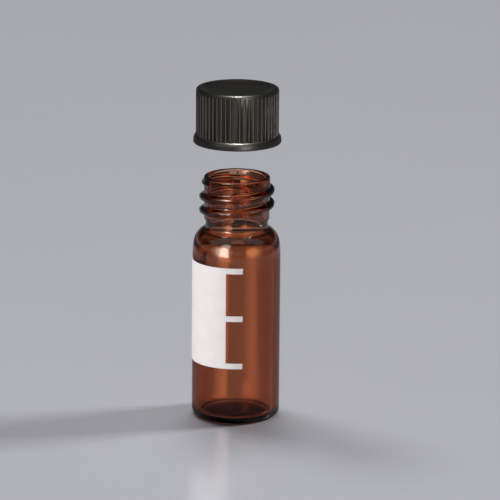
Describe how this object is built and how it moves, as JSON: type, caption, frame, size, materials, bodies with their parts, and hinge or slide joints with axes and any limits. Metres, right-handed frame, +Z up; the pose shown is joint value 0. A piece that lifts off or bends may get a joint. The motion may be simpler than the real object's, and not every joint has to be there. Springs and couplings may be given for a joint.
{
  "type": "glass sample vial",
  "caption": "Small round amber glass vial with a threaded neck and a white writing patch, and a ribbed black screw cap with a soft liner, unscrewed and held clear of the rim.",
  "frame": {"origin": "centre of the vial's foot, on the surface that it stands on", "axes": "+Z up the vial's axis towards the cap, -Y to the front, where the patch's marks are, +X to the right"},
  "size_m": [0.0116, 0.0116, 0.0443],
  "materials": {
    "amber_glass": "clear amber borosilicate glass, fire polished",
    "white_enamel": "matt fired white print",
    "liner_sheet": "smooth fluoropolymer sheet",
    "silicone": "soft translucent white silicone",
    "black_plastic": "satin moulded polypropylene"
  },
  "bodies": {
    "vial": {"glass_vial": "amber_glass", "writing_patch": "white_enamel"},
    "liner": {"liner_face": "liner_sheet", "liner_pad": "silicone"},
    "cap": {"screw_cap": "black_plastic"}
  },
  "joints": [
    {"name": "cap_lift", "type": "slide", "parent": "vial", "child": "liner", "axis": [0, 0, 1], "range_m": [-0.00965, 0]},
    {"name": "cap_turn", "type": "hinge", "parent": "liner", "child": "cap", "pos_m": [0, 0, 0.04], "axis": [0, 0, 1], "range_deg": [-1920, 0]}
  ],
  "couplings": [
    {"joint": "cap_turn", "follows": "cap_lift", "rad_per_m": 3471.4}
  ]
}
